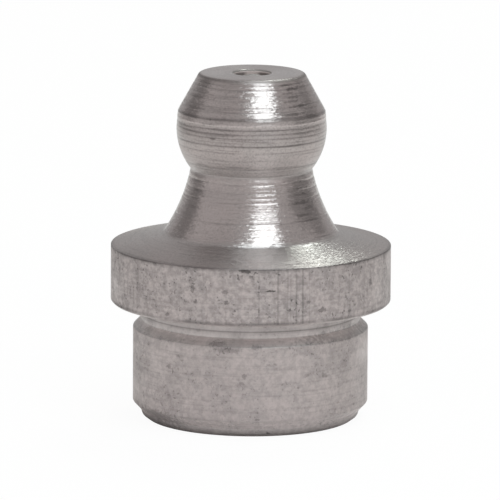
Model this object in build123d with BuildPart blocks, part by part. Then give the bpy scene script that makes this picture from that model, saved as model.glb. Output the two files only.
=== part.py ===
"""Straight drive-in grease nipple: turned steel body, check ball and spring.

The nipple stands on its nose at z = 0, with its axis on Z and its coupler head up.
All lengths are in millimetres.
"""
import os
from math import cos, radians, sin, sqrt

from build123d import *

# ---- Driving dimensions: press-fit end, from the nose up ----
nose_taper = 0.12               # radial narrowing of the nose below the lead-in
nose_height = 0.39
nose_chamfer = 0.17
lead_in = 0.34                  # radial step from the lead-in up to the shank
lead_in_height = 0.36
shank_diameter = 10.2
shank_length = 3.24             # straight, gripping part
relief_depth = 0.35             # radial depth of the tool relief under the flange
relief_width = 0.75

# ---- Driving dimensions: flange ----
flange_overhang = 0.97          # how far the flange stands out past the shank
flange_thickness = 2.5          # at the rim
flange_top_rise = 0.51          # the upper face is a shallow cone
flange_lower_chamfer = 0.1

# ---- Driving dimensions: flare and coupler head ----
head_diameter = 6.5             # the diameter that grease gun couplers are made for
neck_depth = 0.62               # radial depth of the neck behind the head
flare_spread = 1.18             # radial growth of the flare from the neck to its foot
flare_height = 2.84
flare_hollow = 0.15             # sagitta of the flare's concave side
barrel_height = 1.79            # from the neck to the widest point of the head
shoulder_height = 0.73
shoulder_narrowing = 0.06       # radial
cone_height = 1.64
cone_narrowing = 0.91           # radial
head_rounding = 0.2

# ---- Driving dimensions: check valve ----
port_diameter = 1.6
port_land = 0.33                # straight part of the port above the seat
port_edge_break = 0.06
seat_angle = 90.0               # full angle of the conical seat, degrees
ball_diameter = 2.5
ball_play = 0.15                # radial, between ball and bore
seat_clearance = 0.02           # between ball and seat
wire_diameter = 0.3
spring_play = 0.2               # radial, between spring and bore
spring_clearance = 0.02         # between spring and ball, and spring and lip
active_coils = 8
closed_pitch_ratio = 1.05       # pitch of the closed end coils, in wire diameters
wire_sides = 8                  # flats that stand for the round of the wire

# ---- Driving dimensions: staked lip that keeps the spring in ----
lip_thickness = 0.4
lip_margin = 0.05               # how far the lip reaches inside the spring
stake_offset = 0.35             # from the bore wall to the bottom of the staking groove
stake_depth = 0.35
stake_width = 0.5

# ---- Radii that follow ----
shank_radius = shank_diameter / 2
lead_in_radius = shank_radius - lead_in
nose_radius = lead_in_radius - nose_taper
relief_radius = shank_radius - relief_depth
flange_radius = shank_radius + flange_overhang
head_radius = head_diameter / 2
neck_radius = head_radius - neck_depth
flare_radius = neck_radius + flare_spread
shoulder_radius = head_radius - shoulder_narrowing
top_radius = shoulder_radius - cone_narrowing
port_radius = port_diameter / 2
ball_radius = ball_diameter / 2
wire_radius = wire_diameter / 2
bore_radius = ball_radius + ball_play
coil_radius = bore_radius - spring_play - wire_radius
lip_radius = coil_radius - wire_radius - lip_margin
stake_radius = bore_radius + stake_offset

# ---- Heights that follow ----
shank_bottom = nose_height + lead_in_height
shank_top = shank_bottom + shank_length
relief_bottom = shank_top + relief_depth
flange_bottom = relief_bottom + relief_width
flange_top = flange_bottom + flange_thickness
flare_foot = flange_top + flange_top_rise
neck_height = flare_foot + flare_height
widest_height = neck_height + barrel_height
cone_bottom = widest_height + shoulder_height
top_height = cone_bottom + cone_height

# ---- The ball hangs below its seat, and the spring fills the bore under it ----
seat_slope = radians(seat_angle / 2)
seat_top = top_height - port_land
seat_bottom = seat_top - (bore_radius - port_radius) * cos(seat_slope) / sin(seat_slope)
ball_reach = ball_radius + seat_clearance - port_radius * cos(seat_slope)
ball_height = seat_top - ball_reach / sin(seat_slope)
contact_reach = ball_radius + wire_radius + spring_clearance
spring_low = lip_thickness + spring_clearance + wire_radius
spring_high = ball_height - sqrt(contact_reach**2 - coil_radius**2)
closed_pitch = closed_pitch_ratio * wire_diameter
active_height = spring_high - spring_low - 2 * closed_pitch


def corner(sketch, radius, height):
    """The corner of a half section that lies nearest to the given radius and height."""
    return sketch.vertices().sort_by_distance((radius, height))[0]


# ---- Nipple body: the turned outside, then the bore, the port and the staked nose ----
with BuildPart() as nipple_body:
    with BuildSketch(Plane.XZ) as outside:
        with BuildLine():
            Polyline(
                (0, top_height),
                (0, 0),
                (nose_radius, 0),
                (lead_in_radius, nose_height),
                (shank_radius, shank_bottom),
                (shank_radius, shank_top),
                (relief_radius, relief_bottom),
                (relief_radius, flange_bottom),
                (flange_radius, flange_bottom),
                (flange_radius, flange_top),
                (flare_radius, flare_foot),
            )
            SagittaArc((flare_radius, flare_foot), (neck_radius, neck_height), flare_hollow)
            TangentArc(
                (head_radius, widest_height),
                (neck_radius, neck_height),
                tangent=(0, -1),
            )
            Polyline(
                (head_radius, widest_height),
                (shoulder_radius, cone_bottom),
                (top_radius, top_height),
                (0, top_height),
            )
        make_face()
        chamfer(corner(outside, nose_radius, 0), nose_chamfer)
        chamfer(corner(outside, flange_radius, flange_bottom), flange_lower_chamfer)
        fillet(corner(outside, top_radius, top_height), head_rounding)
    revolve(axis=Axis.Z)

    with BuildSketch(Plane.XZ) as bore:
        with BuildLine():
            Polyline(
                (0, 0),
                (lip_radius, 0),
                (lip_radius, lip_thickness),
                (bore_radius, lip_thickness),
                (bore_radius, seat_bottom),
                (port_radius, seat_top),
                (port_radius, top_height - port_edge_break),
                (port_radius + port_edge_break, top_height),
                (0, top_height),
                close=True,
            )
        make_face()
    revolve(axis=Axis.Z, mode=Mode.SUBTRACT)

    with BuildSketch(Plane.XZ) as staking_groove:
        with BuildLine():
            Polyline(
                (stake_radius - stake_width / 2, 0),
                (stake_radius, stake_depth),
                (stake_radius + stake_width / 2, 0),
                close=True,
            )
        make_face()
    revolve(axis=Axis.Z, mode=Mode.SUBTRACT)

# ---- Check ball ----
with BuildPart() as check_ball:
    with Locations((0, 0, ball_height)):
        Sphere(ball_radius)

# ---- Spring: one closed coil at each end, open coils between ----
with BuildPart() as spring:
    with BuildLine() as wire_line:
        Helix(
            pitch=closed_pitch,
            height=closed_pitch,
            radius=coil_radius,
            center=(0, 0, spring_low),
        )
        Helix(
            pitch=active_height / active_coils,
            height=active_height,
            radius=coil_radius,
            center=(0, 0, spring_low + closed_pitch),
        )
        Helix(
            pitch=closed_pitch,
            height=closed_pitch,
            radius=coil_radius,
            center=(0, 0, spring_high - closed_pitch),
        )
    with BuildSketch(wire_line.line ^ 0):
        RegularPolygon(wire_radius, wire_sides)
    sweep(is_frenet=True)

# ---- One STEP file per piece ----
os.makedirs("parts", exist_ok=True)
nipple_body.part.label = "nipple_body"
export_step(nipple_body.part, "parts/nipple_body.step")
check_ball.part.label = "check_ball"
export_step(check_ball.part, "parts/check_ball.step")
spring.part.label = "spring"
export_step(spring.part, "parts/spring.step")
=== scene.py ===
"""Looks of a straight drive-in grease nipple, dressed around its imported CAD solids.

The nipple stands on its nose at the origin, with its axis on Z and its coupler head up.
Sizes are named in millimetres, as in part.py, and every mesh is written in metres.
"""

from math import asin, atan2, ceil, cos, degrees, hypot, pi, radians, sin, tan

import bpy
import numpy as np
from mathutils import Matrix, Vector


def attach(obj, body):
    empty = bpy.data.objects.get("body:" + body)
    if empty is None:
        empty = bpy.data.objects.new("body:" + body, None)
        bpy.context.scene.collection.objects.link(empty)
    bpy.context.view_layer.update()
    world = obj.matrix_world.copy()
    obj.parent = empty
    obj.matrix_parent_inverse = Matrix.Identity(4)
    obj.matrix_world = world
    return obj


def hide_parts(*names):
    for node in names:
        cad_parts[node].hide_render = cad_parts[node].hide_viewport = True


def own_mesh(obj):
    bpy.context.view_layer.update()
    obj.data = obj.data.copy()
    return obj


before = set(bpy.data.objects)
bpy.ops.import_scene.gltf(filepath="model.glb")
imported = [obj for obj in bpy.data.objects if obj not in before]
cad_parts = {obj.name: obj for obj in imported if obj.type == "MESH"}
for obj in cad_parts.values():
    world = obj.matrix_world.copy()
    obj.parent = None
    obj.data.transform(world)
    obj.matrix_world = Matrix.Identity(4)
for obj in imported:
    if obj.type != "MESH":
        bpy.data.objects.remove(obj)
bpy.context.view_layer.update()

MM = 0.001

# ---- Turned outside: radii and heights of the section's corners ----
NOSE_RADIUS = 4.64
NOSE_CHAMFER = 0.17
LEAD_IN_RADIUS = 4.76
LEAD_IN_BOTTOM = 0.39
SHANK_RADIUS = 5.1
SHANK_BOTTOM = 0.75
SHANK_TOP = 3.99
RELIEF_RADIUS = 4.75
RELIEF_BOTTOM = 4.34
FLANGE_RADIUS = 6.07
FLANGE_BOTTOM = 5.09
FLANGE_TOP = 7.59
FLANGE_CHAMFER = 0.1
FLARE_FOOT_RADIUS = 3.81
FLARE_FOOT = 8.1
FLARE_HOLLOW = 0.15
NECK_RADIUS = 2.63
NECK_HEIGHT = 10.94
HEAD_RADIUS = 3.25
WIDEST_HEIGHT = 12.73
SHOULDER_RADIUS = 3.19
CONE_BOTTOM = 13.46
TOP_RADIUS = 2.28
TOP_HEIGHT = 15.1
HEAD_ROUNDING = 0.2

# ---- Grease passage: port, seat, bore, spring lip and staking groove ----
PORT_RADIUS = 0.8
PORT_EDGE_BREAK = 0.06
SEAT_TOP = 14.77
SEAT_BOTTOM = 14.17
BORE_RADIUS = 1.4
LIP_RADIUS = 0.85
LIP_THICKNESS = 0.4
STAKE_RADIUS = 1.75
STAKE_HALF_WIDTH = 0.25
STAKE_DEPTH = 0.35

# ---- Check ball and spring ----
BALL_RADIUS = 1.25
BALL_HEIGHT = 13.774
COIL_RADIUS = 1.05
WIRE_RADIUS = 0.15
SPRING_LOW = 0.57
SPRING_HIGH = 12.818
CLOSED_PITCH = 0.315
ACTIVE_COILS = 8

# ---- Mesh fineness and small roundings ----
FIRST_PITCH = 0.004             # spacing of the section's first points
SEGMENTS = 240                  # steps around the axis
RINGS = 414                     # steps along the section
SHELL_RADIUS = 2.2              # beyond this radius the section is the outside
EDGE_SOFTENING = 0.05           # length over which the section's corners are rounded
EDGE_PASSES = 2                 # how many times that rounding is made
FOOT_SOFTENING = 0.28           # the same length at the foot of the flare
INSIDE_SHARE = 0.28             # rings that the hidden inside gets, against 1 outside
BEND_SHARE = 0.55               # rings that a bend draws, for each unit of its curvature
BEND_LIMIT = 12.0               # curvature beyond which a bend draws no more
MARK_SHARE = 3.2                # rings that a ring mark draws
MARK_REACH = 1.6                # how far it draws them, in its half widths

# ---- Breaks and wander of the marks round the axis ----
MARK_SEED = 41
MARK_WANDER = 0.006             # how far a ring mark strays up and down
MARK_WAVES = 14                 # cosines that make up its breaks
MARK_PRESSING = 2.2             # how sharply it breaks off
MARK_LEVEL = 0.3                # where their sum is above this, in its deviations, it breaks off
# The dark line of painted shade along each corner is broken by this much
CORNER_GAPS = 0.45              # how broken the grime along a corner is

# ---- Dent on the flange's rim ----
RIM_DENT_TURN = 7.5             # degrees from the front
RIM_DENT_HALF_TURN = 3.4        # degrees
RIM_DENT_HEIGHT = 7.16
RIM_DENT_HALF_HEIGHT = 0.40
RIM_DENT_DEPTH = 0.014
RIM_MARGIN_BELOW = 0.02         # how far above its lower corner the rim begins
RIM_MARGIN_ABOVE = 0.01         # how far above its upper corner it ends
RIM_MARGIN_INWARD = 0.12        # how far in from its radius it still counts

# ---- Studio: greys with white paper as 1, and lengths in metres ----
STEEL_SEES = 0.25               # share of the white surround that shows in metal and glass
TENT_GREY = 0.63
OVERHEAD_GREY = 0.30
OVERHEAD_FROM = 0.55            # sine of the elevation where the tent begins to darken
OVERHEAD_FULL = 0.9             # and where it has darkened
PAPER_TO_EYE = 0.95             # share of plain white that the floor shows to the eye
PAPER_TO_STEEL = 0.04           # and to metal and glass
PAPER_TINT = (0.95, 0.9, 0.885, 1)
FLOOR_HALF = 1.5
LAMP_DISTANCE = 0.30
LAMP_AIM_HEIGHT = 0.01
LAMP_POWER = 4                  # watts per square metre that make a soft box as bright as paper

# Cards in the tent: azimuth, elevation, half angle where it is full, where it ends, its grey
CARDS = (
    ("backdrop", 180, 8, 30, 60, 0.37),
    ("left flag", -118, 14, 10, 26, 0.07),
    ("right flag", 88, 8, 14, 26, 0.03),
    ("far right flag", 112, 8, 14, 26, 0.03),
)


# ---------------------------------------------------------------- camera
def place_camera():
    """A long lens that looks slightly down, with the nipple a little below the middle."""
    distance = 311.0
    elevation = radians(10.67)
    roll = radians(0.35)
    picture_width = 500         # pixels
    focal = 7174.0              # in the same pixels
    aim_right = 0.88            # where the target stands in the picture, right of the middle
    aim_below = 6.976           # and below it
    target = Vector((0, 0, 7.0))
    back = Vector((0, -cos(elevation), sin(elevation)))
    ahead = -back
    right = Vector((1, 0, 0))
    up = right.cross(ahead)
    right, up = right * cos(roll) + up * sin(roll), up * cos(roll) - right * sin(roll)
    ahead = (ahead * focal - right * aim_right + up * aim_below).normalized()
    right = ahead.cross(up).normalized()
    up = right.cross(ahead)
    lens = bpy.data.cameras.new("camera")
    lens.sensor_width = 36.0
    lens.lens = focal * lens.sensor_width / picture_width
    lens.clip_start = 0.01
    lens.clip_end = 10.0
    camera = bpy.data.objects.new("camera", lens)
    bpy.context.scene.collection.objects.link(camera)
    turn = Matrix((right, up, -ahead)).transposed()
    camera.matrix_world = Matrix.Translation((target + back * distance) * MM) @ turn.to_4x4()
    bpy.context.scene.camera = camera


place_camera()
bpy.context.scene.view_settings.view_transform = "Standard"


# ---------------------------------------------------------------- node helpers
def node(tree, kind, inputs=None, **settings):
    """Adds one node. Inputs are given by socket name or number, as a value or an output."""
    made = tree.nodes.new(kind)
    for name, value in settings.items():
        setattr(made, name, value)
    for socket, value in (inputs or {}).items():
        if isinstance(value, bpy.types.NodeSocket):
            tree.links.new(value, made.inputs[socket])
        else:
            made.inputs[socket].default_value = value
    return made


def sums(tree, operation, *values):
    """One Math node's result."""
    made = node(tree, "ShaderNodeMath", dict(enumerate(values)), operation=operation)
    return made.outputs[0]


def between(tree, value, low, high, to_low=0.0, to_high=1.0):
    """A value eased from one range to another."""
    made = node(
        tree,
        "ShaderNodeMapRange",
        {"Value": value, "From Min": low, "From Max": high, "To Min": to_low, "To Max": to_high},
        interpolation_type="SMOOTHSTEP",
    )
    return made.outputs["Result"]


def blended(tree, share, first, second):
    """A number part way from the first to the second."""
    made = node(tree, "ShaderNodeMix", {0: share, 2: first, 3: second})
    return made.outputs[0]


def scaled(tree, colour, factor):
    """A colour or a vector times a number."""
    made = node(tree, "ShaderNodeVectorMath", {0: colour, "Scale": factor}, operation="SCALE")
    return made.outputs[0]


def tinted(tree, share, first, second):
    """A colour part way from the first to the second."""
    made = node(tree, "ShaderNodeMix", {0: share, 6: first, 7: second}, data_type="RGBA")
    return made.outputs[2]


# ---------------------------------------------------------------- studio
def direction(azimuth, elevation):
    """Unit vector out from the nipple. Azimuth 0 is the camera's side and 90 is its right."""
    a = radians(azimuth)
    e = radians(elevation)
    return Vector((sin(a) * cos(e), -cos(a) * cos(e), sin(e)))


def lamp(name, azimuth, elevation, width, height, brightness, colour):
    """A soft box, with its brightness given against white paper as 1."""
    light = bpy.data.lights.new(name, "AREA")
    light.shape = "RECTANGLE"
    light.size = width
    light.size_y = height
    light.energy = LAMP_POWER * width * height * brightness
    light.color = colour
    holder = bpy.data.objects.new(name, light)
    bpy.context.scene.collection.objects.link(holder)
    out = direction(azimuth, elevation)
    holder.location = out * LAMP_DISTANCE + Vector((0, 0, LAMP_AIM_HEIGHT))
    holder.rotation_mode = "QUATERNION"
    holder.rotation_quaternion = out.to_track_quat("Z", "Y")
    holder.visible_camera = False


def white_share(tree, camera_share, steel_share):
    """How much of plain white a ray sees: most for the eye, and some for metal and glass."""
    rays = node(tree, "ShaderNodeLightPath").outputs
    to_eye = sums(tree, "MULTIPLY", rays["Is Camera Ray"], camera_share)
    to_steel = sums(tree, "MULTIPLY", rays["Is Glossy Ray"], steel_share)
    to_glass = sums(tree, "MULTIPLY", rays["Is Transmission Ray"], steel_share)
    return sums(tree, "MAXIMUM", sums(tree, "MAXIMUM", to_eye, to_steel), to_glass)


def light_tent():
    """A dim grey tent: brighter low behind, darker overhead, with a flag at each side."""
    world = bpy.data.worlds.new("tent")
    bpy.context.scene.world = world
    world.use_nodes = True
    tree = world.node_tree
    tree.nodes.clear()
    way = node(tree, "ShaderNodeTexCoord").outputs["Generated"]
    height = node(tree, "ShaderNodeSeparateXYZ", {0: way}).outputs[2]
    grey = between(tree, height, OVERHEAD_FROM, OVERHEAD_FULL, TENT_GREY, OVERHEAD_GREY)
    for _, azimuth, elevation, full, end, shade in CARDS:
        toward = direction(azimuth, elevation)
        near = node(tree, "ShaderNodeVectorMath", {0: way, 1: toward}, operation="DOT_PRODUCT")
        share = between(tree, near.outputs["Value"], cos(radians(end)), cos(radians(full)))
        grey = blended(tree, share, grey, shade)
    seen = blended(tree, white_share(tree, 1.0, STEEL_SEES), grey, 1.0)
    glow = node(tree, "ShaderNodeBackground", {"Color": seen, "Strength": 1.0})
    out = node(tree, "ShaderNodeOutputWorld")
    tree.links.new(glow.outputs[0], out.inputs["Surface"])


def lay_floor():
    """A plain white floor that keeps the shadow faint to the eye and fuller in the steel."""
    near, far = -FLOOR_HALF, FLOOR_HALF
    corners = [(near, near, 0), (far, near, 0), (far, far, 0), (near, far, 0)]
    mesh = bpy.data.meshes.new("floor")
    mesh.from_pydata(corners, [], [(0, 1, 2, 3)])
    floor = bpy.data.objects.new("floor", mesh)
    bpy.context.scene.collection.objects.link(floor)
    paper = bpy.data.materials.new("white_paper")
    paper.use_nodes = True
    tree = paper.node_tree
    tree.nodes.clear()
    share = white_share(tree, PAPER_TO_EYE, PAPER_TO_STEEL)
    glow = node(tree, "ShaderNodeEmission", {"Color": (1, 1, 1, 1), "Strength": 1.0})
    lit = node(tree, "ShaderNodeBsdfDiffuse", {"Color": PAPER_TINT})
    both = node(tree, "ShaderNodeMixShader", {0: share, 1: lit.outputs[0], 2: glow.outputs[0]})
    out = node(tree, "ShaderNodeOutputMaterial")
    tree.links.new(both.outputs[0], out.inputs["Surface"])
    mesh.materials.append(paper)


light_tent()
lay_floor()
lamp(
    "front_box",
    azimuth=26.5,
    elevation=64,
    width=0.162,
    height=0.35,
    brightness=2.65,
    colour=(0.84, 0.975, 1.0),
)
lamp(
    "back_box",
    azimuth=159.5,
    elevation=53,
    width=0.1,
    height=0.1,
    brightness=6.0,
    colour=(0.86, 1.0, 0.94),
)


# ---------------------------------------------------------------- section of the body
def straight(start, end):
    """Points from start up to, but without, end: start plus an even share of the way."""
    start = np.array(start, float)
    end = np.array(end, float)
    count = max(2, ceil(hypot(*(end - start)) / FIRST_PITCH))
    share = np.arange(count)[:, None] / count
    return start + share * (end - start)


def arc(centre, radius, first, last):
    """Points of a circle about centre from one angle up to another, in degrees from outward."""
    count = max(2, ceil(abs(radians(last - first)) * radius / FIRST_PITCH))
    angle = np.radians(first + (last - first) * np.arange(count) / count)
    return np.array(centre) + radius * np.stack((np.cos(angle), np.sin(angle)), axis=1)


def section():
    """The body's half section as one closed run, with a finish for each point.

    Straight lines and arcs follow each other from the lip's corner under the nose, out and
    up over the shank, flange, flare and head, across the top face, and down through the
    port, seat and bore. Finish 0 is the rough lower end, 1 the fine upper end, 2 the bore.
    """
    rough, fine, inner = 0, 1, 2
    chord = hypot(FLARE_FOOT_RADIUS - NECK_RADIUS, NECK_HEIGHT - FLARE_FOOT)
    hollow_radius = ((chord / 2) ** 2 + FLARE_HOLLOW**2) / (2 * FLARE_HOLLOW)
    out_x = (NECK_HEIGHT - FLARE_FOOT) / chord
    out_z = (FLARE_FOOT_RADIUS - NECK_RADIUS) / chord
    reach = hollow_radius - FLARE_HOLLOW
    hollow_centre = (
        (FLARE_FOOT_RADIUS + NECK_RADIUS) / 2 + out_x * reach,
        (FLARE_FOOT + NECK_HEIGHT) / 2 + out_z * reach,
    )
    foot_angle = degrees(
        atan2(FLARE_FOOT - hollow_centre[1], FLARE_FOOT_RADIUS - hollow_centre[0])
    )
    neck_angle = degrees(atan2(NECK_HEIGHT - hollow_centre[1], NECK_RADIUS - hollow_centre[0]))
    rise = WIDEST_HEIGHT - NECK_HEIGHT
    swell = HEAD_RADIUS - NECK_RADIUS
    barrel_radius = (rise**2 + swell**2) / (2 * swell)
    barrel_centre = (HEAD_RADIUS - barrel_radius, WIDEST_HEIGHT)
    barrel_start = -degrees(asin(rise / barrel_radius))
    cone_tilt = degrees(atan2(SHOULDER_RADIUS - TOP_RADIUS, TOP_HEIGHT - CONE_BOTTOM))
    cone_run = hypot(SHOULDER_RADIUS - TOP_RADIUS, TOP_HEIGHT - CONE_BOTTOM)
    cone_x = (TOP_RADIUS - SHOULDER_RADIUS) / cone_run
    cone_z = (TOP_HEIGHT - CONE_BOTTOM) / cone_run
    cut_back = HEAD_ROUNDING * tan(radians(90 - cone_tilt) / 2)
    round_start = (TOP_RADIUS - cone_x * cut_back, TOP_HEIGHT - cone_z * cut_back)
    round_centre = (TOP_RADIUS - cut_back, TOP_HEIGHT - HEAD_ROUNDING)
    seat_wall = PORT_RADIUS + PORT_EDGE_BREAK
    taper_run = hypot(LEAD_IN_RADIUS - NOSE_RADIUS, LEAD_IN_BOTTOM)
    nose_edge = (
        NOSE_RADIUS + NOSE_CHAMFER * (LEAD_IN_RADIUS - NOSE_RADIUS) / taper_run,
        NOSE_CHAMFER * LEAD_IN_BOTTOM / taper_run,
    )
    runs = (
        (rough, straight((LIP_RADIUS, 0), (STAKE_RADIUS - STAKE_HALF_WIDTH, 0))),
        (rough, straight((STAKE_RADIUS - STAKE_HALF_WIDTH, 0), (STAKE_RADIUS, STAKE_DEPTH))),
        (rough, straight((STAKE_RADIUS, STAKE_DEPTH), (STAKE_RADIUS + STAKE_HALF_WIDTH, 0))),
        (rough, straight((STAKE_RADIUS + STAKE_HALF_WIDTH, 0), (NOSE_RADIUS - NOSE_CHAMFER, 0))),
        (rough, straight((NOSE_RADIUS - NOSE_CHAMFER, 0), nose_edge)),
        (rough, straight(nose_edge, (LEAD_IN_RADIUS, LEAD_IN_BOTTOM))),
        (rough, straight((LEAD_IN_RADIUS, LEAD_IN_BOTTOM), (SHANK_RADIUS, SHANK_BOTTOM))),
        (rough, straight((SHANK_RADIUS, SHANK_BOTTOM), (SHANK_RADIUS, SHANK_TOP))),
        (rough, straight((SHANK_RADIUS, SHANK_TOP), (RELIEF_RADIUS, RELIEF_BOTTOM))),
        (rough, straight((RELIEF_RADIUS, RELIEF_BOTTOM), (RELIEF_RADIUS, FLANGE_BOTTOM))),
        (
            rough,
            straight(
                (RELIEF_RADIUS, FLANGE_BOTTOM), (FLANGE_RADIUS - FLANGE_CHAMFER, FLANGE_BOTTOM)
            ),
        ),
        (
            rough,
            straight(
                (FLANGE_RADIUS - FLANGE_CHAMFER, FLANGE_BOTTOM),
                (FLANGE_RADIUS, FLANGE_BOTTOM + FLANGE_CHAMFER),
            ),
        ),
        (
            rough,
            straight((FLANGE_RADIUS, FLANGE_BOTTOM + FLANGE_CHAMFER), (FLANGE_RADIUS, FLANGE_TOP)),
        ),
        (fine, straight((FLANGE_RADIUS, FLANGE_TOP), (FLARE_FOOT_RADIUS, FLARE_FOOT))),
        (fine, arc(hollow_centre, hollow_radius, foot_angle % 360, neck_angle % 360)),
        (fine, arc(barrel_centre, barrel_radius, barrel_start, 0)),
        (fine, straight((HEAD_RADIUS, WIDEST_HEIGHT), (SHOULDER_RADIUS, CONE_BOTTOM))),
        (fine, straight((SHOULDER_RADIUS, CONE_BOTTOM), round_start)),
        (fine, arc(round_centre, HEAD_ROUNDING, cone_tilt, 90)),
        (fine, straight((round_centre[0], TOP_HEIGHT), (seat_wall, TOP_HEIGHT))),
        (inner, straight((seat_wall, TOP_HEIGHT), (PORT_RADIUS, TOP_HEIGHT - PORT_EDGE_BREAK))),
        (inner, straight((PORT_RADIUS, TOP_HEIGHT - PORT_EDGE_BREAK), (PORT_RADIUS, SEAT_TOP))),
        (inner, straight((PORT_RADIUS, SEAT_TOP), (BORE_RADIUS, SEAT_BOTTOM))),
        (inner, straight((BORE_RADIUS, SEAT_BOTTOM), (BORE_RADIUS, LIP_THICKNESS))),
        (inner, straight((BORE_RADIUS, LIP_THICKNESS), (LIP_RADIUS, LIP_THICKNESS))),
        (inner, straight((LIP_RADIUS, LIP_THICKNESS), (LIP_RADIUS, 0))),
    )
    points = np.concatenate([run for _, run in runs])
    finishes = np.concatenate([np.full(len(run), finish) for finish, run in runs])
    return points, finishes


# Ring marks of the turning tool: height on the section, depth, half width, how broken it is, and
# how much it darkens its groove, partly grime and partly painted shade; a negative value paints a
# highlight on a ridge
RING_MARKS = (
    (14.85, 0.0085, 0.026, 0.35, 0.50),
    (14.69, 0.0095, 0.028, 0.30, 0.60),
    (14.45, 0.0070, 0.024, 0.45, 0.40),
    (14.26, 0.0040, 0.020, 0.95, 0.50),
    (13.98, 0.0080, 0.026, 0.40, 0.45),
    (13.81, 0.0080, 0.026, 0.40, 0.45),
    (13.50, 0.0060, 0.070, 0.15, 0.75),
    (13.25, -0.0110, 0.042, 0.15, -0.5),
    (13.07, 0.0075, 0.032, 0.35, 0.80),
    (12.90, 0.0060, 0.030, 0.45, 0.75),
    (12.70, 0.0060, 0.032, 0.40, 0.75),
    (12.52, 0.0040, 0.026, 0.70, 0.60),
    (12.36, 0.0110, 0.038, 0.25, 0.95),
    (12.06, 0.0045, 0.028, 0.80, 0.60),
    (11.68, 0.0030, 0.026, 0.80, 0.25),
    (11.32, 0.0090, 0.036, 0.45, 0.60),
    (10.86, 0.0080, 0.030, 0.45, 0.20),
    (10.62, 0.0140, 0.045, 0.20, 0.15),
    (10.26, 0.0130, 0.040, 0.25, 0.15),
    (10.06, 0.0080, 0.034, 0.45, 0.10),
    (9.88, 0.0110, 0.036, 0.25, 0.12),
    (9.74, 0.0060, 0.030, 0.45, 0.10),
    (9.02, 0.0100, 0.034, 0.25, 0.30),
    (4.62, 0.0080, 0.030, 0.25, 0.80),
)

# Tone of the bare steel along the outside, by height, with painted light and shade: lighter where
# the steel lies in shade under the flange, in the relief, at the lead-in and below the neck, and
# darker at the nose, a painted contact shadow, and at the head's top corner, where its highlight is
# painted out
TONE_AND_PAINTED_LIGHT = (
    (0.0, 0.9),
    (0.1, 0.95),
    (0.16, 0.85),
    (0.2, 0.84),
    (0.28, 0.98),
    (0.38, 1.18),
    (0.41, 1.42),
    (0.72, 1.36),
    (0.78, 1.05),
    (3.92, 1.05),
    (4.02, 1.14),
    (4.3, 1.38),
    (4.42, 1.08),
    (4.58, 0.98),
    (5.0, 0.98),
    (5.09, 1.75),
    (5.11, 1.15),
    (5.2, 1.07),
    (7.58, 1.07),
    (7.6, 0.99),
    (7.72, 1.04),
    (8.1, 1.1),
    (8.25, 1.0),
    (10.3, 1.0),
    (10.9, 1.12),
    (11.0, 1.5),
    (11.5, 1.36),
    (12.1, 1.25),
    (12.4, 1.1),
    (13.3, 1.1),
    (13.6, 0.98),
    (14.93, 0.98),
    (14.97, 1.04),
    (15.03, 0.72),
    (15.08, 0.72),
    (15.098, 1.06),
)

# How much paler, less brown, the steel is where it mirrors itself, by height
PALENESS = (
    (0.0, 0.4),
    (0.7, 0.25),
    (0.8, 0.0),
    (3.98, 0.0),
    (4.0, 0.7),
    (4.33, 0.6),
    (4.4, 0.15),
    (5.1, 0.15),
    (5.2, 0.0),
    (7.58, 0.0),
    (7.62, 0.0),
    (8.1, 0.3),
    (8.3, 0.0),
    (10.8, 0.0),
    (11.0, 0.35),
    (11.5, 0.1),
    (12.0, 0.0),
)

# How strongly dark lines, flecks and pits show, by height
MARKING = (
    (0.0, 0.6),
    (3.99, 0.6),
    (4.1, 0.35),
    (5.1, 0.35),
    (5.2, 1.0),
    (7.58, 1.0),
    (7.62, 0.8),
    (8.1, 0.4),
    (9.3, 0.3),
    (9.7, 0.45),
    (10.94, 0.5),
    (11.1, 1.0),
    (12.1, 1.3),
    (12.3, 1.5),
    (13.4, 1.5),
    (13.65, 0.7),
    (15.0, 0.6),
    (15.1, 0.5),
)

# How deep the tool's fine lines are on the finely turned end, by height
TOOLING = (
    (7.59, 1.6),
    (8.1, 1.6),
    (8.5, 0.9),
    (9.5, 0.9),
    (9.8, 1.2),
    (10.9, 1.2),
    (11.1, 0.9),
    (13.5, 0.9),
    (13.7, 1.4),
    (15.0, 1.4),
    (15.1, 0.2),
)

# How much the metal's grains glint, by height
GLINTS = (
    (7.59, 1.45),
    (8.1, 1.3),
    (8.35, 0.7),
    (10.9, 0.9),
    (11.1, 0.3),
    (13.3, 0.4),
    (13.6, 0.8),
    (15.0, 0.8),
    (15.1, 0.3),
)

# Roughness of the finely turned end, by height
SATIN = (
    (7.59, 0.40),
    (8.1, 0.34),
    (8.3, 0.25),
    (10.7, 0.25),
    (11.0, 0.45),
    (12.0, 0.42),
    (12.35, 0.29),
    (13.4, 0.28),
    (13.6, 0.25),
    (14.94, 0.25),
    (14.98, 0.34),
    (15.04, 0.6),
    (15.08, 0.5),
    (15.1, 0.17),
)

# Dark lines painted along corners, painted shade in the creases at the neck and the flare's foot
# and along the edges of the flange, the shank and the head: radius, height, half width, strength
CORNER_SHADE_LINES = (
    (FLANGE_RADIUS, FLANGE_TOP, 0.075, 0.95),
    (FLANGE_RADIUS, FLANGE_BOTTOM + 0.12, 0.06, 0.6),
    (SHANK_RADIUS, SHANK_BOTTOM, 0.05, 0.2),
    (FLARE_FOOT_RADIUS, FLARE_FOOT, 0.09, 0.25),
    (TOP_RADIUS + 0.03, TOP_HEIGHT - 0.12, 0.05, 0.25),
    (NECK_RADIUS, NECK_HEIGHT, 0.05, 0.25),
)


def spaced(values, count):
    """Indices that share the running total of values into count even steps."""
    running = np.concatenate(((0,), np.cumsum(values)))
    steps = np.arange(count) * running[-1] / count
    return np.interp(steps, running, np.arange(len(running)))


def softened(track, width):
    """A closed track averaged over a sliding window of an odd number of its points."""
    half = width // 2
    looped = np.concatenate((track[-half:], track, track[:half]))
    return np.convolve(looped, np.ones(2 * half + 1) / (2 * half + 1), mode="valid")


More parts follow.
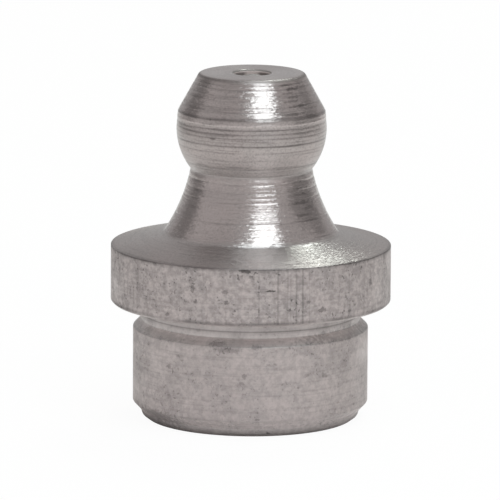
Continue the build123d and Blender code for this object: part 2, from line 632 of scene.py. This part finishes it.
def broken(angles, gaps, draw):
    """Strength of a mark around the axis: 1, less gaps where a sum of random cosines is high."""
    turns = np.arange(1, MARK_WAVES + 1)
    heights = draw.normal(size=turns.size) / np.sqrt(turns)
    starts = draw.uniform(0, 2 * pi, turns.size)
    wave = (heights[:, None] * np.cos(turns[:, None] * angles + starts[:, None])).sum(0)
    wave = wave / wave.std()
    return 1 - gaps * (0.5 + 0.5 * np.tanh(MARK_PRESSING * (wave - MARK_LEVEL)))


def by_height(table, heights):
    """A table's value at each height, on straight lines between its rows."""
    rows = np.array(table)
    return np.interp(heights, rows[:, 0], rows[:, 1])


def build_body():
    """The nipple body: its section turned round Z, with the tool's ring marks and a dent.

    Each point of the section is pushed out along the section's normal by an offset that
    depends on its height and on the angle: minus depth times exp(-(distance / half width)^2)
    for each ring mark, and for the rim's dent minus depth times exp(-(turned way / half
    turn)^4) times exp(-(height difference / half height)^4). Rows join their neighbours, and
    the last row and column join the first, so the surface has no border.
    """
    points, finishes = section()
    steps = np.hypot(*(np.roll(points, -1, axis=0) - points).T)
    whole_run = steps.sum()
    run = np.concatenate(((0,), np.cumsum(steps)))
    count = int(whole_run / FIRST_PITCH)
    even = np.arange(count) * whole_run / count
    closed = np.vstack((points, points[:1]))
    radius = np.interp(even, run, closed[:, 0])
    height = np.interp(even, run, closed[:, 1])
    finish = finishes[np.searchsorted(run, even, side="right") - 1]
    from_foot = np.hypot(radius - FLARE_FOOT_RADIUS, height - FLARE_FOOT)
    at_foot = np.exp(-((from_foot / FOOT_SOFTENING) ** 4))
    for track in (radius, height):
        blunt = softened(track, int(FOOT_SOFTENING / FIRST_PITCH))
        track += at_foot * (blunt - track)
    for _ in range(EDGE_PASSES):
        radius = softened(radius, int(EDGE_SOFTENING / FIRST_PITCH))
        height = softened(height, int(EDGE_SOFTENING / FIRST_PITCH))
    outside = radius > SHELL_RADIUS
    bend = np.hypot(
        np.gradient(np.gradient(radius, even), even), np.gradient(np.gradient(height, even), even)
    )
    weight = np.where(outside, 1.0, INSIDE_SHARE) + np.minimum(bend, BEND_LIMIT) * BEND_SHARE
    for mark_height, _, half_width, _, _ in RING_MARKS:
        close = np.exp(-(((height - mark_height) / (MARK_REACH * half_width)) ** 2))
        weight = weight + np.where(outside, close * MARK_SHARE, 0)
    picked = spaced(weight, RINGS)
    index = np.arange(count)
    ring_radius = np.interp(picked, index, radius)
    ring_height = np.interp(picked, index, height)
    ring_run = np.interp(picked, index, even)
    ring_finish = finish[np.round(picked).astype(int) % count]
    tilt_r = np.interp(picked, index, np.gradient(radius, even))
    tilt_z = np.interp(picked, index, np.gradient(height, even))
    length = np.hypot(tilt_r, tilt_z)
    out_r = tilt_z / length
    out_z = -tilt_r / length

    angles = np.arange(SEGMENTS) * 2 * pi / SEGMENTS
    draw = np.random.default_rng(MARK_SEED)
    offset = np.zeros((RINGS, SEGMENTS))
    dirt_and_painted_light = np.zeros((RINGS, SEGMENTS))
    shell = (ring_radius > SHELL_RADIUS)[:, None]
    # Each ring mark darkens its groove, partly grime and partly painted shade, and a negative share
    # paints a highlight on its ridge
    for mark_height, depth, half_width, gaps, dirt_and_light_share in RING_MARKS:
        wander = MARK_WANDER * np.cos(angles + draw.uniform(0, 2 * pi))
        away = (ring_height[:, None] - mark_height - wander) / half_width
        mark = shell * np.exp(-(away**2)) * broken(angles, gaps, draw)
        offset -= depth * mark
        dirt_and_painted_light = dirt_and_painted_light + dirt_and_light_share * mark
    # Painted shade along the corners, in the creases and at the edges
    for corner_radius, corner_height, half_width, strength in CORNER_SHADE_LINES:
        away = np.hypot(ring_radius - corner_radius, ring_height - corner_height) / half_width
        line = np.exp(-(away**2))[:, None] * broken(angles, CORNER_GAPS, draw)
        dirt_and_painted_light = dirt_and_painted_light + shell * strength * line

    rim = ring_height > FLANGE_BOTTOM + RIM_MARGIN_BELOW
    rim = rim & (ring_height < FLANGE_TOP + RIM_MARGIN_ABOVE)
    rim = (rim & (ring_radius > FLANGE_RADIUS - RIM_MARGIN_INWARD))[:, None]
    aside = (angles - radians(RIM_DENT_TURN) + pi) % (2 * pi) - pi
    aside = aside / radians(RIM_DENT_HALF_TURN)
    above = (ring_height[:, None] - RIM_DENT_HEIGHT) / RIM_DENT_HALF_HEIGHT
    offset -= rim * RIM_DENT_DEPTH * np.exp(-(aside**4)) * np.exp(-(above**4))

    grid_r = ring_radius[:, None] + out_r[:, None] * offset
    grid_z = ring_height[:, None] + out_z[:, None] * offset
    grid_r = np.minimum(grid_r, FLANGE_RADIUS)
    grid_z = np.clip(grid_z, 0, TOP_HEIGHT)
    places = np.stack(
        (grid_r * np.sin(angles), -grid_r * np.cos(angles), np.broadcast_to(grid_z, grid_r.shape)),
        axis=2,
    )

    row = np.arange(RINGS)[:, None] * np.ones(SEGMENTS, int)
    column = np.ones(RINGS, int)[:, None] * np.arange(SEGMENTS)
    next_row = (row + 1) % RINGS
    next_column = (column + 1) % SEGMENTS
    faces = np.stack(
        (
            row * SEGMENTS + column,
            row * SEGMENTS + next_column,
            next_row * SEGMENTS + next_column,
            next_row * SEGMENTS + column,
        ),
        axis=2,
    ).reshape(-1, 4)
    mesh = bpy.data.meshes.new("nipple_body_turned")
    mesh.from_pydata((places.reshape(-1, 3) * MM).tolist(), [], faces.tolist())

    # The share of a turn along u and the share of the section's run along v
    across = np.stack((column, column + 1, column + 1, column), axis=2) / SEGMENTS
    run_here = np.broadcast_to(ring_run[:, None], row.shape)
    run_next = np.broadcast_to(np.append(ring_run[1:], whole_run)[:, None], row.shape)
    along = np.stack((run_here, run_here, run_next, run_next), axis=2) / whole_run
    layer = mesh.uv_layers.new(name="turn_and_run")
    layer.data.foreach_set("uv", np.stack((across, along), axis=3).astype(np.float32).ravel())

    def attribute(title, values):
        """A number at each vertex, for the materials."""
        made = mesh.attributes.new(title, "FLOAT", "POINT")
        spread = np.broadcast_to(values, (RINGS, SEGMENTS))
        made.data.foreach_set("value", np.ascontiguousarray(spread, np.float32).ravel())

    attribute("run", ring_run[:, None])
    # Grime and painted light and shade along grooves and corners, for the colour
    attribute("dirt_and_painted_light", dirt_and_painted_light)
    tables = {
        "lightness": TONE_AND_PAINTED_LIGHT,
        "paleness": PALENESS,
        "marking": MARKING,
        "tooling": TOOLING,
        "glints": GLINTS,
        "satin": SATIN,
    }
    for title, table in tables.items():
        attribute(title, by_height(table, ring_height)[:, None])
    mesh.polygons.foreach_set("use_smooth", np.ones(len(faces), bool))
    slots = np.repeat(ring_finish, SEGMENTS).astype(np.int32)
    mesh.polygons.foreach_set("material_index", slots)
    mesh.update()
    body = bpy.data.objects.new("nipple_body_turned", mesh)
    bpy.context.scene.collection.objects.link(body)
    return body


# ---------------------------------------------------------------- ball and spring
def grid_piece(name, places):
    """A piece from a grid of places: columns close on themselves, and each end row is capped
    with one point at its middle."""
    rows, columns = places.shape[:2]
    start = places[0].mean(0)
    end = places[-1].mean(0)
    corners = np.concatenate((places.reshape(-1, 3), start[None], end[None])) * MM
    row = np.arange(rows - 1)[:, None] * np.ones(columns, int)
    column = np.ones(rows - 1, int)[:, None] * np.arange(columns)
    beside = (column + 1) % columns
    sides = np.stack(
        (
            row * columns + column,
            row * columns + beside,
            (row + 1) * columns + beside,
            (row + 1) * columns + column,
        ),
        axis=2,
    ).reshape(-1, 4)
    around = np.arange(columns)
    first = np.stack((np.full(columns, rows * columns), (around + 1) % columns, around), axis=1)
    last_row = (rows - 1) * columns
    last = np.stack(
        (
            np.full(columns, rows * columns + 1),
            last_row + around,
            last_row + (around + 1) % columns,
        ),
        axis=1,
    )
    mesh = bpy.data.meshes.new(name)
    mesh.from_pydata(corners.tolist(), [], sides.tolist() + first.tolist() + last.tolist())
    mesh.polygons.foreach_set("use_smooth", np.ones(len(mesh.polygons), bool))
    mesh.update()
    piece = bpy.data.objects.new(name, mesh)
    bpy.context.scene.collection.objects.link(piece)
    return piece


def build_ball():
    """The check ball: each row is a circle whose radius and height are the sine and cosine of
    its angle from the top, and each pole is one point."""
    rows, columns = 72, 96
    fall = np.linspace(0, pi, rows + 2)[1:-1, None]
    turn = np.arange(columns) * 2 * pi / columns
    places = np.stack(
        (
            BALL_RADIUS * np.sin(fall) * np.cos(-turn),
            BALL_RADIUS * np.sin(fall) * np.sin(-turn),
            np.broadcast_to(BALL_HEIGHT + BALL_RADIUS * np.cos(fall), (rows, columns)),
        ),
        axis=2,
    )
    return grid_piece("check_ball_polished", places)


def build_spring():
    """The spring: a round wire carried along a helix, closed for one turn at each end.

    The centre line turns evenly at the coil radius while its height follows the pitch, and
    the wire's circle stands square to it, on the outward and the upward directions.
    """
    turns_each = 44
    sides = 14
    coils = ACTIVE_COILS + 2
    turn = np.linspace(0, coils, coils * turns_each + 1)
    top = SPRING_HIGH - CLOSED_PITCH
    height = np.interp(
        turn,
        (0, 1, coils - 1, coils),
        (SPRING_LOW, SPRING_LOW + CLOSED_PITCH, top, SPRING_HIGH),
    )
    angle = 2 * pi * turn
    outward = np.stack((np.cos(angle), np.sin(angle), np.zeros_like(angle)), axis=1)
    centre = COIL_RADIUS * outward
    centre[:, 2] = height
    ahead = np.gradient(centre, axis=0)
    ahead /= np.linalg.norm(ahead, axis=1)[:, None]
    upward = np.cross(ahead, outward)
    around = np.arange(sides) * 2 * pi / sides
    places = centre[:, None] - WIRE_RADIUS * (
        np.cos(around)[:, None] * outward[:, None] + np.sin(around)[:, None] * upward[:, None]
    )
    return grid_piece("valve_spring_wire", places)


# ---------------------------------------------------------------- finishes
def steel(name):
    """An empty metal material: its node tree and its shader."""
    material = bpy.data.materials.new(name)
    material.use_nodes = True
    tree = material.node_tree
    tree.nodes.clear()
    shader = node(tree, "ShaderNodeBsdfPrincipled", {"Metallic": 1.0})
    out = node(tree, "ShaderNodeOutputMaterial")
    tree.links.new(shader.outputs[0], out.inputs["Surface"])
    return material, tree, shader


def noise(tree, place, scale, detail=2.0, roughness=0.5):
    """Noise of 0 to 1 at a place."""
    made = node(
        tree,
        "ShaderNodeTexNoise",
        {"Vector": place, "Scale": scale, "Detail": detail, "Roughness": roughness},
    )
    return made.outputs["Fac"]


def carried(tree, title):
    """A number that the body's mesh carries."""
    return node(tree, "ShaderNodeAttribute", attribute_name=title).outputs["Fac"]


def stretched(tree, place, along_value, around, along):
    """Object coordinates drawn out round the axis, with another value in place of height."""
    parts = node(tree, "ShaderNodeSeparateXYZ", {0: place}).outputs
    made = node(
        tree,
        "ShaderNodeCombineXYZ",
        {
            0: sums(tree, "MULTIPLY", parts[0], around / MM),
            1: sums(tree, "MULTIPLY", parts[1], around / MM),
            2: sums(tree, "MULTIPLY", along_value, along),
        },
    )
    return made.outputs[0]


def total(tree, *terms):
    """The sum of values, each given with its factor."""
    whole = None
    for value, factor in terms:
        part = sums(tree, "MULTIPLY", value, factor)
        whole = part if whole is None else sums(tree, "ADD", whole, part)
    return whole


def darkened(tree, base, *marks):
    """A base lightness with each mark's share taken off it, one after the other."""
    left = base
    for mark, strength in marks:
        kept = sums(tree, "SUBTRACT", 1.0, sums(tree, "MULTIPLY", mark, strength))
        left = sums(tree, "MULTIPLY", left, kept)
    return left


def glinting(tree, place, normal, tilt, share):
    """A normal that leans a random way in each of many small cells, as grains of metal do.

    Most cells lean by a least share of the tilt, and a few lean further by an extra share.
    """
    least, extra, rarity = 0.5, 1.1, 8.0
    cells = node(tree, "ShaderNodeTexVoronoi", {"Vector": place, "Scale": 1.0})
    lean = node(
        tree,
        "ShaderNodeVectorMath",
        {0: cells.outputs["Color"], 1: (0.5, 0.5, 0.5)},
        operation="SUBTRACT",
    )
    odd = node(tree, "ShaderNodeSeparateXYZ", {0: cells.outputs["Color"]}).outputs[2]
    rare = sums(tree, "POWER", odd, rarity)
    strong = sums(tree, "ADD", sums(tree, "MULTIPLY", rare, extra), least)
    strong = sums(tree, "MULTIPLY", strong, sums(tree, "MULTIPLY", share, tilt))
    leaning = scaled(tree, lean.outputs[0], strong)
    both = node(tree, "ShaderNodeVectorMath", {0: normal, 1: leaning}, operation="ADD")
    made = node(tree, "ShaderNodeVectorMath", {0: both.outputs[0]}, operation="NORMALIZE")
    return made.outputs[0]


def dark_patches(tree, place, turn, marks, blur):
    """Dark patches at given places, dented spots, stains and painted shade: their strength inside a
    ragged ellipse and 0 outside.

    The distance is the length of (turned way / half width, height difference / half height),
    with the turned way measured on the shank's radius.
    """
    raggedness = 4.0
    height = node(tree, "ShaderNodeSeparateXYZ", {0: place}).outputs[2]
    uneven = noise(tree, place, scale=6 / MM, detail=3.0, roughness=0.7)
    ragged = sums(tree, "SUBTRACT", uneven, 0.5)
    darkest = None
    for turned, mark_height, half_width, half_height, strength in marks:
        way = sums(tree, "SUBTRACT", turn, turned % 360 / 360)
        way = sums(tree, "MULTIPLY", way, 2 * pi * SHANK_RADIUS / half_width)
        rise = sums(tree, "SUBTRACT", height, mark_height * MM)
        rise = sums(tree, "MULTIPLY", rise, 1 / (half_height * MM))
        off = node(tree, "ShaderNodeCombineXYZ", {0: way, 1: rise})
        far = node(tree, "ShaderNodeVectorMath", {0: off.outputs[0]}, operation="LENGTH")
        far = total(tree, (far.outputs["Value"], 1.0), (ragged, raggedness))
        dark = between(tree, far, 1 - blur, 1 + blur, strength, 0.0)
        darkest = dark if darkest is None else sums(tree, "MAXIMUM", darkest, dark)
    return darkest


def scores(tree, place, turn, lines):
    """Upright scratches: their strength in the core of a swaying line and 0 beside it."""
    core_share = 0.3
    sway_width = 0.05
    sway = sums(tree, "SUBTRACT", noise(tree, place, scale=2.5 / MM), 0.5)
    darkest = None
    for turned, half_width, strength in lines:
        way = sums(tree, "SUBTRACT", turn, turned % 360 / 360)
        way = total(tree, (way, 2 * pi * FLANGE_RADIUS), (sway, sway_width))
        off = sums(tree, "ABSOLUTE", way)
        dark = between(tree, off, core_share * half_width, half_width, strength, 0.0)
        darkest = dark if darkest is None else sums(tree, "MAXIMUM", darkest, dark)
    return darkest


# Dented spots and stains, with painted shade on the shank and painted dark reflections on the head:
# turn in degrees from the front, height, half width, half height, strength
RIM_DENTS = (
    (7.6, 6.65, 0.20, 0.05, 0.8),
    (-24.2, 6.64, 0.07, 0.15, 0.5),
    (-10.2, 6.60, 0.10, 0.08, 0.45),
    (30.3, 5.69, 0.16, 0.10, 0.55),
    (-9.7, 6.16, 0.10, 0.08, 0.5),
    (-22.8, 6.08, 0.08, 0.07, 0.45),
    (-1.8, 7.52, 0.26, 0.07, 0.7),
    (24.0, 6.1, 0.08, 0.07, 0.35),
    (-52.0, 6.3, 0.16, 0.10, 0.3),
    (58.0, 6.55, 0.10, 0.16, 0.35),
    (44.0, 5.5, 0.09, 0.07, 0.4),
    (-36.0, 5.42, 0.08, 0.06, 0.5),
)
SHANK_SPOTS_AND_SHADE = (
    (-43.0, 2.9, 0.14, 0.10, 0.4),
    (-2.5, 2.76, 0.10, 0.10, 0.4),
    (-4.0, 2.42, 0.16, 0.09, 0.3),
    (28.5, 2.7, 0.22, 0.07, 0.3),
    (38.5, 2.62, 0.18, 0.12, 0.35),
    (-11.0, 3.85, 0.55, 0.12, 0.3),
    (-16.0, 4.12, 0.32, 0.10, 0.35),
    (3.0, 4.02, 0.20, 0.10, 0.35),
    (9.5, 0.18, 0.08, 0.06, 0.6),
    # Two wide patches that darken the low left end
    (-54.0, 0.55, 1.3, 0.26, 0.45),
    (-62.0, 0.15, 1.6, 0.3, 0.35),
    # Two wide soft bands of painted shade at the relief's foot, right and left
    (56.0, 4.18, 2.2, 0.22, 0.34),
    (-50.0, 4.2, 1.5, 0.16, 0.2),
)
# On the head the spots dent the bump, and in colour most of them, on the sides of the flare and the
# cone, are painted dark reflections
HEAD_SPOTS_AND_REFLECTIONS = (
    (38.0, 14.86, 0.55, 0.045, 0.5),
    (42.0, 14.69, 0.70, 0.05, 0.6),
    (37.0, 14.53, 0.50, 0.04, 0.4),
    (41.0, 14.37, 0.75, 0.045, 0.5),
    (39.0, 14.20, 0.60, 0.045, 0.4),
    (46.0, 13.99, 0.90, 0.05, 0.5),
    (35.0, 13.69, 1.00, 0.055, 0.45),
    (49.0, 10.66, 0.75, 0.05, 0.4),
    (47.0, 10.38, 0.60, 0.04, 0.35),
    (51.0, 10.12, 0.80, 0.045, 0.4),
    (48.0, 9.79, 0.80, 0.07, 0.4),
    (54.0, 9.52, 0.60, 0.08, 0.35),
    (46.0, 9.26, 0.70, 0.06, 0.4),
    (52.0, 8.98, 0.90, 0.05, 0.35),
    (-56.0, 10.62, 0.60, 0.05, 0.35),
    (-54.0, 10.22, 0.50, 0.04, 0.3),
    (-57.0, 9.90, 0.60, 0.05, 0.35),
    (-55.0, 9.54, 0.50, 0.06, 0.3),
    (-31.0, 12.66, 0.16, 0.045, 0.5),
    (-34.0, 13.46, 0.05, 0.05, 0.5),
    (-14.0, 11.42, 0.8, 0.035, 0.3),
    (-48.0, 11.4, 0.6, 0.035, 0.3),
)

# Upright scores on the rim: turn in degrees, half width, strength
RIM_SCORES = (
    (3.3, 0.05, 0.2),
    (11.1, 0.07, 0.3),
    (15.1, 0.07, 0.24),
    (16.3, 0.05, 0.12),
    (18.7, 0.06, 0.34),
    (21.5, 0.06, 0.36),
    (24.4, 0.05, 0.15),
)


def fine_turned():
    """Satin steel, turned round the axis: fine broken lines that stretch the highlights."""
    material, tree, shader = steel("satin_turned_steel")
    place = node(tree, "ShaderNodeTexCoord").outputs["Object"]
    turn = node(tree, "ShaderNodeUVMap", uv_map="turn_and_run").outputs[0]
    turn = node(tree, "ShaderNodeSeparateXYZ", {0: turn}).outputs[0]
    run = carried(tree, "run")
    marking = carried(tree, "marking")
    lines = noise(tree, stretched(tree, place, run, around=0.3, along=6.0), scale=1.0)
    threads = stretched(tree, place, run, around=1.0, along=14.0)
    threads = noise(tree, threads, scale=1.0, roughness=0.6)
    cloud = noise(tree, place, scale=0.55 / MM, detail=3.0, roughness=0.6)
    grain = noise(tree, place, scale=12 / MM, roughness=0.6)
    deep = sums(tree, "MULTIPLY", between(tree, lines, 0.54, 0.68), marking)
    thin = sums(tree, "MULTIPLY", between(tree, threads, 0.5, 0.75), marking)
    spots_and_painted_shade = dark_patches(tree, place, turn, HEAD_SPOTS_AND_REFLECTIONS, blur=0.35)
    # Painted light and shade: the lightness carried by height and the dark share carried along
    # grooves and corners paint light and shade into the colour, and the head's spots paint dark
    # reflections
    lightness = darkened(
        tree,
        carried(tree, "lightness"),
        (deep, 0.19),
        (thin, 0.06),
        (carried(tree, "dirt_and_painted_light"), 0.5),
        (between(tree, grain, 0.45, 0.75), 0.14),
        (sums(tree, "MULTIPLY", between(tree, grain, 0.4, 0.7), marking), 0.09),
        (between(tree, cloud, 0.3, 0.75), 0.05),
        (spots_and_painted_shade, 0.8),
    )
    brown = (0.433, 0.377, 0.367, 1)
    duller_brown = (0.43, 0.38, 0.37, 1)
    pale_grey = (0.4, 0.395, 0.392, 1)
    tint = tinted(tree, between(tree, cloud, 0.35, 0.65), brown, duller_brown)
    tint = tinted(tree, carried(tree, "paleness"), tint, pale_grey)
    tree.links.new(scaled(tree, tint, lightness), shader.inputs["Base Color"])
    satin = total(tree, (carried(tree, "satin"), 1.0), (grain, 0.03))
    tree.links.new(satin, shader.inputs["Roughness"])
    shader.inputs["Anisotropic"].default_value = 0.75
    shader.inputs["Anisotropic Rotation"].default_value = 0.25
    around = node(tree, "ShaderNodeTangent", direction_type="UV_MAP", uv_map="turn_and_run")
    tree.links.new(around.outputs[0], shader.inputs["Tangent"])
    cut = total(tree, (lines, 1.0), (threads, 0.45))
    cut = sums(tree, "MULTIPLY", cut, carried(tree, "tooling"))
    relief = total(tree, (cut, 1.0), (grain, 0.15), (spots_and_painted_shade, -0.6))
    bump = node(tree, "ShaderNodeBump", {"Height": relief, "Distance": 0.012 * MM, "Strength": 1.0})
    grains = stretched(tree, place, run, around=9.0, along=17.0)
    share = carried(tree, "glints")
    normal = glinting(tree, grains, bump.outputs[0], tilt=0.22, share=share)
    tree.links.new(normal, shader.inputs["Normal"])
    return material


def rough_turned():
    """Duller steel of the flange's rim and the shank: small pits, mottling and short wear."""
    material, tree, shader = steel("pitted_turned_steel")
    place = node(tree, "ShaderNodeTexCoord").outputs["Object"]
    turn = node(tree, "ShaderNodeUVMap", uv_map="turn_and_run").outputs[0]
    turn = node(tree, "ShaderNodeSeparateXYZ", {0: turn}).outputs[0]
    height = node(tree, "ShaderNodeSeparateXYZ", {0: place}).outputs[2]
    marking = carried(tree, "marking")
    cloud = noise(tree, place, scale=0.9 / MM, detail=4.0, roughness=0.6)
    crowd = between(tree, noise(tree, place, scale=0.9 / MM), 0.35, 0.65)
    speckle = noise(tree, place, scale=11 / MM, roughness=0.6)
    mottle = noise(tree, place, scale=4.5 / MM, roughness=0.6)
    dots = noise(tree, place, scale=7.5 / MM, detail=1.0)
    blots = noise(tree, place, scale=3.2 / MM, detail=3.0, roughness=0.7)
    lines = stretched(tree, place, carried(tree, "run"), around=0.3, along=9.0)
    lines = noise(tree, lines, scale=1.0, detail=3.0, roughness=0.6)
    upright = sums(tree, "DIVIDE", height, MM)
    upright = stretched(tree, place, upright, around=4.5, along=0.35)
    upright = noise(tree, upright, scale=1.0, roughness=0.6)
    on_rim = between(tree, marking, 0.7, 0.95)
    fleck = sums(tree, "MULTIPLY", between(tree, speckle, 0.3, 0.7), marking)
    dot = sums(tree, "MULTIPLY", crowd, marking)
    dot = sums(tree, "MULTIPLY", between(tree, dots, 0.62, 0.7), dot)
    pit = sums(tree, "MULTIPLY", between(tree, blots, 0.66, 0.72), marking)
    pit = sums(tree, "MAXIMUM", pit, dot)
    streak = sums(tree, "MULTIPLY", between(tree, upright, 0.5, 0.75), on_rim)
    spots_and_painted_shade = sums(
        tree,
        "MAXIMUM",
        dark_patches(tree, place, turn, RIM_DENTS, blur=0.3),
        dark_patches(tree, place, turn, SHANK_SPOTS_AND_SHADE, blur=0.5),
    )
    scored = sums(tree, "MULTIPLY", scores(tree, place, turn, RIM_SCORES), on_rim)
    # Painted light and shade: the lightness carried by height and the dark share carried along
    # grooves and corners paint light and shade into the colour, as do the wide patches at the
    # relief
    lightness = darkened(
        tree,
        carried(tree, "lightness"),
        (fleck, 0.11),
        (sums(tree, "MULTIPLY", between(tree, mottle, 0.35, 0.65), marking), 0.24),
        (pit, 0.42),
        (streak, 0.09),
        (between(tree, lines, 0.45, 0.7), 0.12),
        (between(tree, cloud, 0.3, 0.7), 0.06),
        (carried(tree, "dirt_and_painted_light"), 0.65),
        (scored, 0.7),
        (spots_and_painted_shade, 0.85),
    )
    brown = (0.527, 0.461, 0.453, 1)
    duller_brown = (0.522, 0.465, 0.457, 1)
    pale_grey = (0.48, 0.475, 0.472, 1)
    tint = tinted(tree, between(tree, cloud, 0.35, 0.65), brown, duller_brown)
    tint = tinted(tree, carried(tree, "paleness"), tint, pale_grey)
    tree.links.new(scaled(tree, tint, lightness), shader.inputs["Base Color"])
    dullness = total(tree, (speckle, 0.1), (marking, 0.06), (pit, 0.15), (cloud, 0.8))
    tree.links.new(dullness, shader.inputs["Roughness"])
    relief = total(tree, (speckle, 0.5), (lines, 0.4), (pit, -1.0), (scored, -0.5), (spots_and_painted_shade, -0.8))
    bump = node(tree, "ShaderNodeBump", {"Height": relief, "Distance": 0.009 * MM, "Strength": 1.0})
    tree.links.new(bump.outputs[0], shader.inputs["Normal"])
    return material


def bore_with_painted_light():
    """The inside of the passage: painted light in the port, painted shade at both of its sides, and
    painted shade on its edge, where its highlight is painted out.
    """
    light_steel = (0.46, 0.41, 0.4, 1)
    dark_steel = (0.4, 0.36, 0.35, 1)
    # Painted light: the port's walls are made brighter than the bore
    lit_port_steel = (0.7, 0.62, 0.6, 1)
    # Painted shade: darker at the port's two sides, and darker still on its edge, to paint out its
    # highlight
    side_shade_steel = (0.3, 0.26, 0.25, 1)
    shaded_edge_steel = (0.27, 0.245, 0.235, 1)
    port_low, port_high = 14.7, 14.8
    side_shade_height = 14.9
    side_shade_full, side_shade_end = 0.06, 0.12
    side_from, side_full = 0.15, 0.4
    edge_low, edge_high = 15.03, 15.05
    material, tree, shader = steel("bore_steel_with_painted_light")
    place = node(tree, "ShaderNodeTexCoord").outputs["Object"]
    cloud = noise(tree, place, scale=1.5 / MM, detail=3.0, roughness=0.6)
    parts = node(tree, "ShaderNodeSeparateXYZ", {0: place}).outputs
    in_port = between(tree, parts[2], port_low * MM, port_high * MM)
    # Painted shade in a band near the port's top, at both of its sides
    off = sums(tree, "ABSOLUTE", sums(tree, "SUBTRACT", parts[2], side_shade_height * MM))
    band = between(tree, off, side_shade_full * MM, side_shade_end * MM, 1.0, 0.0)
    aside = sums(tree, "ABSOLUTE", parts[0])
    oil = sums(tree, "MULTIPLY", band, between(tree, aside, side_from * MM, side_full * MM))
    edge = between(tree, parts[2], edge_low * MM, edge_high * MM)
    tone = tinted(tree, between(tree, cloud, 0.3, 0.7), light_steel, dark_steel)
    # Painted light in the port, then painted shade at its sides and on its edge
    tone = tinted(tree, in_port, tone, lit_port_steel)
    tone = tinted(tree, oil, tone, side_shade_steel)
    tone = tinted(tree, edge, tone, shaded_edge_steel)
    tree.links.new(tone, shader.inputs["Base Color"])
    dullness = between(tree, cloud, 0.3, 0.7, 0.45, 0.6)
    dullness = total(tree, (dullness, 1.0), (in_port, 0.25))
    tree.links.new(dullness, shader.inputs["Roughness"])
    return material


def polished_ball():
    """Hard ball steel with faint smears of oil."""
    clean = (0.32, 0.285, 0.275, 1)
    oily = (0.26, 0.235, 0.23, 1)
    material, tree, shader = steel("polished_ball_steel")
    place = node(tree, "ShaderNodeTexCoord").outputs["Object"]
    smear = noise(tree, place, scale=1.8 / MM, detail=3.0, roughness=0.6)
    tone = tinted(tree, between(tree, smear, 0.35, 0.7), clean, oily)
    tree.links.new(tone, shader.inputs["Base Color"])
    tree.links.new(between(tree, smear, 0.35, 0.7, 0.42, 0.55), shader.inputs["Roughness"])
    return material


def drawn_wire():
    """Spring wire with fine drawing marks and a darker oil film."""
    clean = (0.42, 0.39, 0.375, 1)
    oily = (0.28, 0.255, 0.24, 1)
    material, tree, shader = steel("drawn_spring_wire")
    place = node(tree, "ShaderNodeTexCoord").outputs["Object"]
    film = noise(tree, place, scale=3 / MM, detail=3.0, roughness=0.6)
    grain = noise(tree, place, scale=30 / MM, roughness=0.6)
    tone = tinted(tree, between(tree, film, 0.3, 0.7), clean, oily)
    tree.links.new(tone, shader.inputs["Base Color"])
    tree.links.new(between(tree, film, 0.3, 0.7, 0.25, 0.42), shader.inputs["Roughness"])
    bump = node(tree, "ShaderNodeBump", {"Height": grain, "Distance": 0.002 * MM, "Strength": 1.0})
    tree.links.new(bump.outputs[0], shader.inputs["Normal"])
    return material


# ---------------------------------------------------------------- assembly
body = build_body()
for finish in (rough_turned(), fine_turned(), bore_with_painted_light()):
    body.data.materials.append(finish)
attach(body, "nipple")
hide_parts("nipple_body")

ball = build_ball()
ball.data.materials.append(polished_ball())
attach(ball, "ball")
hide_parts("check_ball")

spring = build_spring()
spring.data.materials.append(drawn_wire())
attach(spring, "nipple")
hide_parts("spring")
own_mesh(spring)
